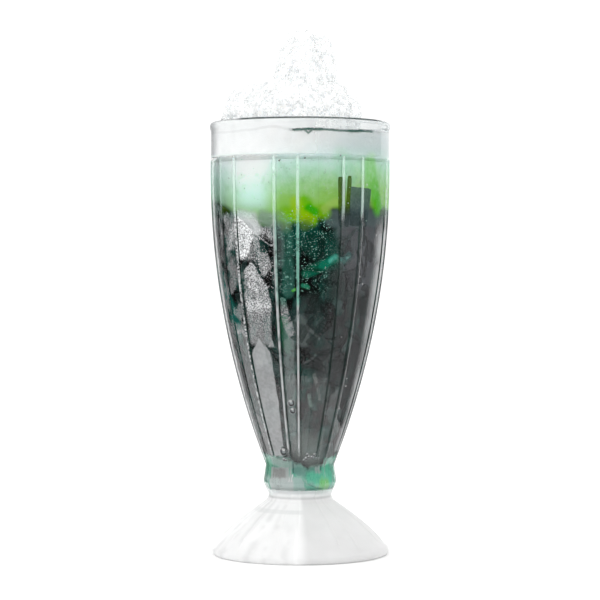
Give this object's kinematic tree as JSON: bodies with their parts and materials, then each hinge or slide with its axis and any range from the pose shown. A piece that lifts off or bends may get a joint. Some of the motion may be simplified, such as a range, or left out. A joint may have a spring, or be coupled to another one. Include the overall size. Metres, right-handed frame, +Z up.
{
  "type": "cup of iced grass jelly",
  "caption": "Tall panelled fountain glass on a bell foot, filled with dark grass jelly and green syrup under a high mound of shaved ice.",
  "frame": {"origin": "centre of the resting ring under the foot, on the surface the glass stands on", "axes": "+Z is up along the axis of the glass, -Y faces the front, +X is to the right"},
  "size_m": [0.0796, 0.0796, 0.2301],
  "materials": {
    "clear_glass": "clear pressed glass, misted with fine condensation",
    "grass_jelly": "dark translucent jelly, wet and glossy, tinted teal by the syrup",
    "green_syrup": "milky green syrup with crushed ice, mint at the top and lime below",
    "shaved_ice": "wet white shaved ice, granular and slightly clear at its edges"
  },
  "bodies": {
    "root": {"glass": "clear_glass", "grass_jelly": "grass_jelly", "green_syrup": "green_syrup", "shaved_ice": "shaved_ice"}
  },
  "joints": []
}
